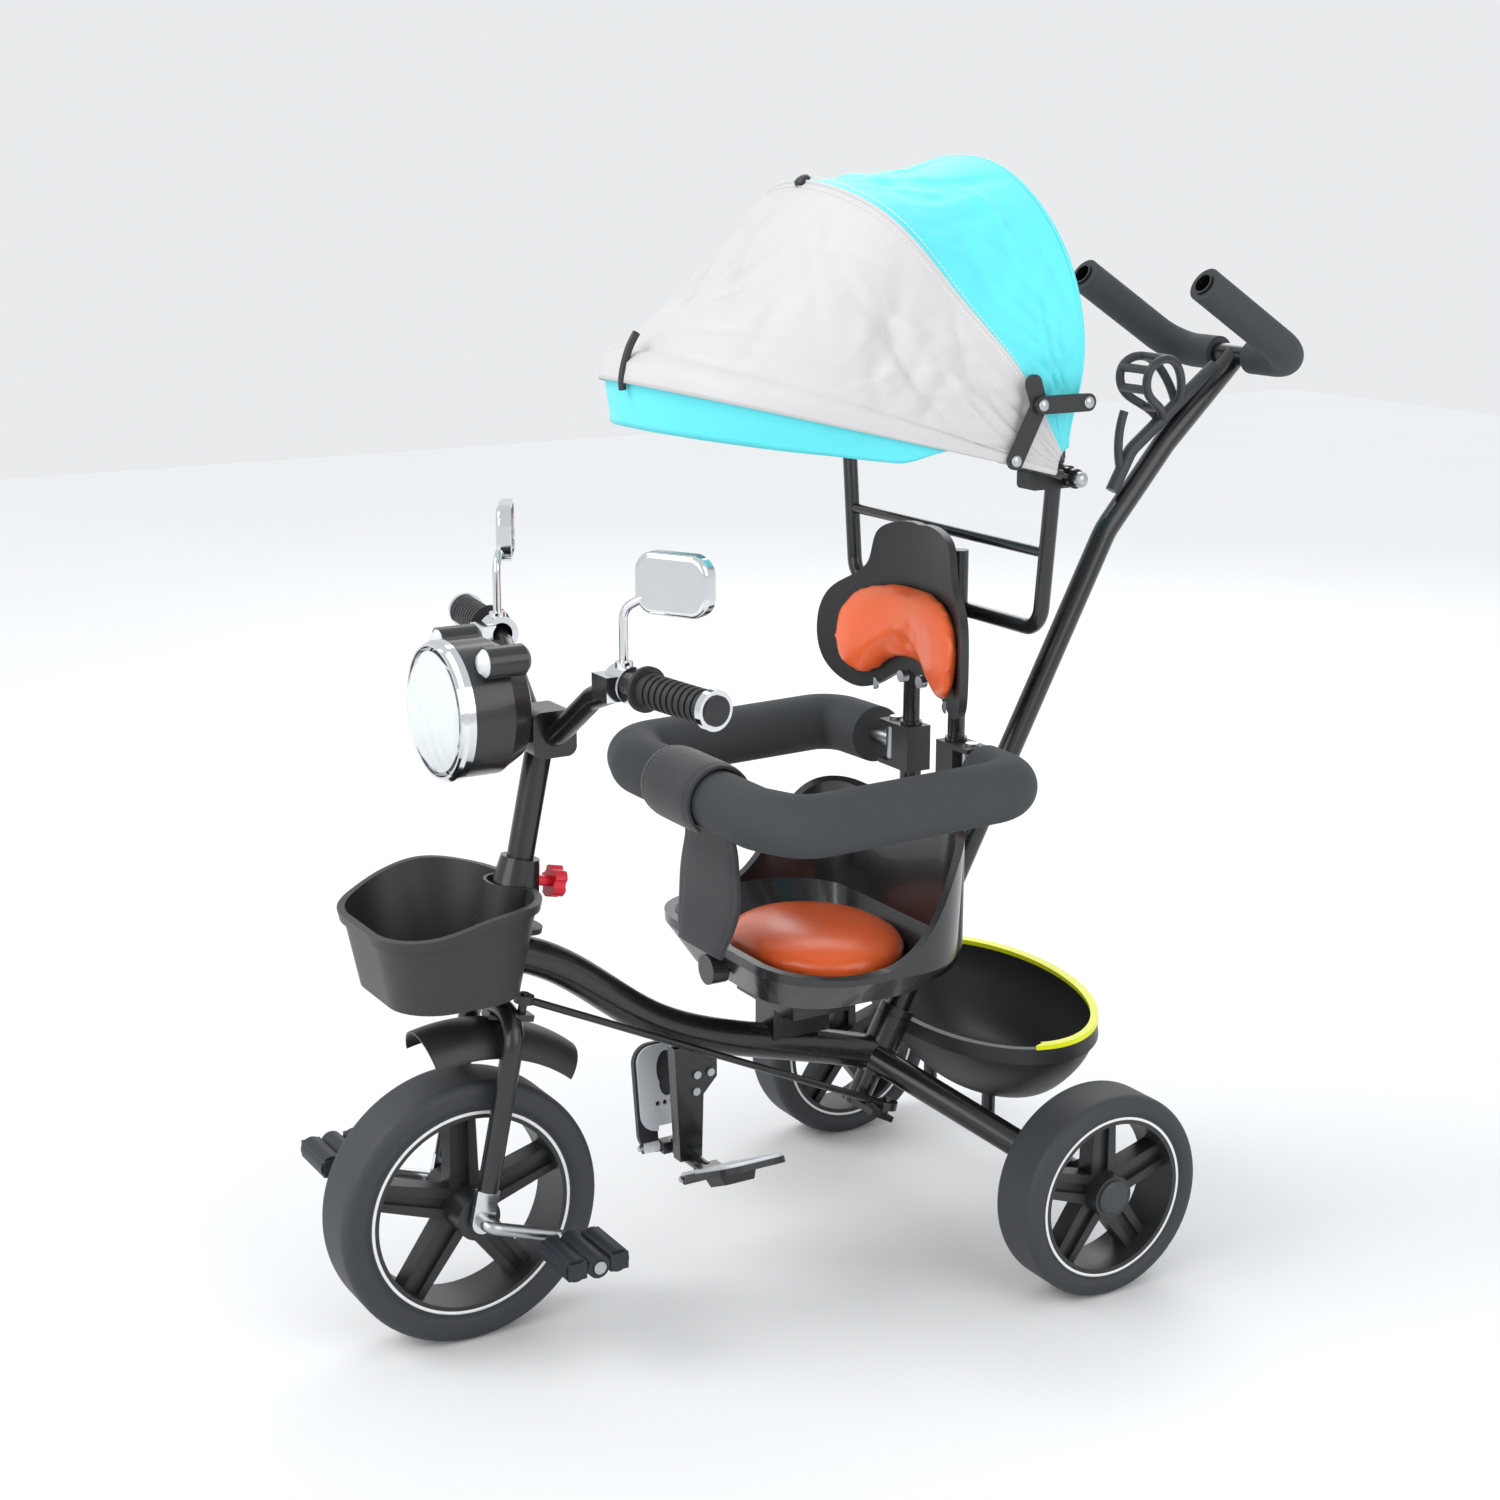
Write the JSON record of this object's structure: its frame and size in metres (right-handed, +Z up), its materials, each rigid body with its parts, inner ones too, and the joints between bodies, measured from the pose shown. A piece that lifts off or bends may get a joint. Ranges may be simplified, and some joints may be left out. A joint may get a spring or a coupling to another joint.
{
  "type": "children's push tricycle",
  "caption": "Child's push tricycle with a bucket seat, padded guard ring, backrest, folding canopy, two baskets, round headlight, mirrors, fold-up foot plates and a steering push handle.",
  "frame": {"origin": "on the floor under the middle of the tricycle's length and width", "axes": "+Z up, -Y towards the front wheel, +X to the rider's left"},
  "size_m": [0.52, 1.0384, 1.0679],
  "materials": {
    "black_paint": "gloss",
    "chrome": "polished",
    "steel": "zinc plated",
    "eva_tyre": "matt with a thin white line",
    "black_plastic": "satin",
    "gloss_black_plastic": "gloss",
    "pedal_plastic": "matt",
    "grey_plastic": "matt",
    "light_plastic": "satin",
    "red_plastic": "gloss",
    "yellow_plastic": "satin",
    "orange_vinyl": "soft gloss",
    "foam": "matt foam",
    "grip_rubber": "ribbed",
    "lens": "clear",
    "reflector": "polished",
    "cream_fabric": "coated weave",
    "blue_fabric": "coated weave",
    "strap_fabric": "padded weave"
  },
  "bodies": {
    "frame": {"main_frame": "black_paint", "headset_bushes": "black_plastic", "rear_axle": "steel", "frame_fasteners": "steel", "hinge_pins": "steel", "seat_shell": "gloss_black_plastic", "seat_cushion": "orange_vinyl", "seat_rails": "black_paint", "backrest_shell": "black_plastic", "backrest_cushion": "orange_vinyl", "backrest_posts": "black_paint", "guard_brackets": "black_plastic", "front_basket": "black_plastic", "rear_basket": "black_plastic", "rear_basket_trim": "yellow_plastic", "canopy_frame": "black_paint", "canopy_hinge_blocks": "black_plastic", "footrest_bracket": "black_paint"},
    "steering": {"fork": "black_paint", "fork_tips": "chrome", "mudguard": "black_plastic", "steering_collar": "black_paint", "stem": "black_paint", "handlebar": "black_paint", "handlebar_grips": "grip_rubber", "bar_fittings": "chrome", "headlight_shell": "gloss_black_plastic", "headlight_rim": "chrome", "headlight_reflector": "reflector", "lamp_lenses": "lens"},
    "knob": {"clamp_knob": "red_plastic"},
    "front_wheel": {"front_tyre": "eva_tyre", "front_rim": "black_plastic", "front_axle_crank": "steel"},
    "left_pedal": {"pedal_left": "pedal_plastic"},
    "right_pedal": {"pedal_right": "pedal_plastic"},
    "rear_wheel_left": {"rear_tyre_left": "eva_tyre", "rear_rim_left": "black_plastic"},
    "rear_wheel_right": {"rear_tyre_right": "eva_tyre", "rear_rim_right": "black_plastic"},
    "handle": {"push_handle": "black_paint", "horn_grips": "foam", "bottle_cage": "grey_plastic"},
    "link": {"link_rod": "black_paint"},
    "canopy_middle": {"canopy_mid_bow": "black_paint", "canopy_rear_panel": "blue_fabric"},
    "canopy_front": {"canopy_front_bow": "black_paint", "canopy_front_panel": "cream_fabric", "canopy_visor": "blue_fabric"},
    "stay_levers": {"canopy_levers": "black_plastic"},
    "stay_struts": {"canopy_struts": "black_plastic"},
    "guard_left": {"guard_core_left": "steel", "guard_foam_left": "foam"},
    "guard_right": {"guard_core_right": "steel", "guard_foam_right": "foam", "crotch_strap": "strap_fabric"},
    "foot_left": {"foot_plate_left": "light_plastic"},
    "foot_right": {"foot_plate_right": "light_plastic"},
    "left_mirror": {"mirror_left": "chrome"},
    "right_mirror": {"mirror_right": "chrome"}
  },
  "joints": [
    {"name": "steering_turn", "type": "hinge", "parent": "frame", "child": "steering", "pos_m": [0, -0.39225, 0.127], "axis": [0, 0.2079, 0.9781], "range_deg": [-35, 35]},
    {"name": "knob_turn", "type": "hinge", "parent": "steering", "child": "knob", "pos_m": [0, -0.3277, 0.43067], "axis": [0, 0.9781, -0.2079], "range_deg": [0, 360]},
    {"name": "front_wheel_spin", "type": "hinge", "parent": "steering", "child": "front_wheel", "pos_m": [0, -0.39225, 0.127], "axis": [1, 0, 0], "continuous": true},
    {"name": "left_pedal_spin", "type": "hinge", "parent": "front_wheel", "child": "left_pedal", "pos_m": [0.108, -0.31945, 0.10193], "axis": [1, 0, 0], "continuous": true},
    {"name": "right_pedal_spin", "type": "hinge", "parent": "front_wheel", "child": "right_pedal", "pos_m": [-0.108, -0.46505, 0.15207], "axis": [1, 0, 0], "continuous": true},
    {"name": "left_rear_wheel_spin", "type": "hinge", "parent": "frame", "child": "rear_wheel_left", "pos_m": [0.23, 0.17175, 0.1015], "axis": [1, 0, 0], "continuous": true},
    {"name": "right_rear_wheel_spin", "type": "hinge", "parent": "frame", "child": "rear_wheel_right", "pos_m": [-0.23, 0.17175, 0.1015], "axis": [1, 0, 0], "continuous": true},
    {"name": "push_handle_turn", "type": "hinge", "parent": "frame", "child": "handle", "pos_m": [0, 0.05975, 0.165], "axis": [0, 0.4648, 0.8854], "range_deg": [-35, 35]},
    {"name": "link_rod_swing", "type": "hinge", "parent": "steering", "child": "link", "pos_m": [0.035, -0.33922, 0.32838], "axis": [0.0216, 0.2138, 0.9766], "range_deg": [-35, 35]},
    {"name": "canopy_fold", "type": "hinge", "parent": "frame", "child": "canopy_middle", "pos_m": [0, 0.14175, 0.787], "axis": [-1, 0, 0], "range_deg": [0, 18], "deforming": ["canopy_rear_panel"]},
    {"name": "canopy_front_fold", "type": "hinge", "parent": "canopy_middle", "child": "canopy_front", "pos_m": [0, 0.14175, 0.787], "axis": [-1, 0, 0], "range_deg": [0, 25.5], "deforming": ["canopy_front_panel"]},
    {"name": "stay_lever_swing", "type": "hinge", "parent": "canopy_front", "child": "stay_levers", "pos_m": [0, 0.06692, 0.80902], "axis": [1, 0, 0], "range_deg": [0, 51]},
    {"name": "stay_strut_swing", "type": "hinge", "parent": "frame", "child": "stay_struts", "pos_m": [0, 0.14175, 0.857], "axis": [-1, 0, 0], "range_deg": [0, 67]},
    {"name": "left_guard_swing", "type": "hinge", "parent": "frame", "child": "guard_left", "pos_m": [0.066, 0.13075, 0.488], "axis": [0, 0, 1], "range_deg": [0, 75]},
    {"name": "right_guard_swing", "type": "hinge", "parent": "frame", "child": "guard_right", "pos_m": [-0.066, 0.13075, 0.488], "axis": [0, 0, 1], "range_deg": [-75, 0]},
    {"name": "left_foot_plate_fold", "type": "hinge", "parent": "frame", "child": "foot_left", "pos_m": [0.042, -0.14925, 0.118], "axis": [0, -1, 0], "range_deg": [0, 57]},
    {"name": "right_foot_plate_fold", "type": "hinge", "parent": "frame", "child": "foot_right", "pos_m": [-0.042, -0.14925, 0.118], "axis": [0, -1, 0], "range_deg": [0, 57]},
    {"name": "left_mirror_turn", "type": "hinge", "parent": "steering", "child": "left_mirror", "pos_m": [0.128, -0.28125, 0.646], "axis": [0, 0, 1], "range_deg": [-40, 40]},
    {"name": "right_mirror_turn", "type": "hinge", "parent": "steering", "child": "right_mirror", "pos_m": [-0.128, -0.28125, 0.646], "axis": [0, 0, 1], "range_deg": [-40, 40]}
  ],
  "couplings": [
    {"joint": "push_handle_turn", "follows": "steering_turn", "ratio": 0.9721},
    {"joint": "link_rod_swing", "follows": "steering_turn", "ratio": -0.9994},
    {"joint": "canopy_front_fold", "follows": "canopy_fold", "ratio": 1.4},
    {"joint": "stay_lever_swing", "follows": "canopy_fold", "ratio": 2.784},
    {"joint": "stay_strut_swing", "follows": "canopy_fold", "ratio": 3.696}
  ]
}
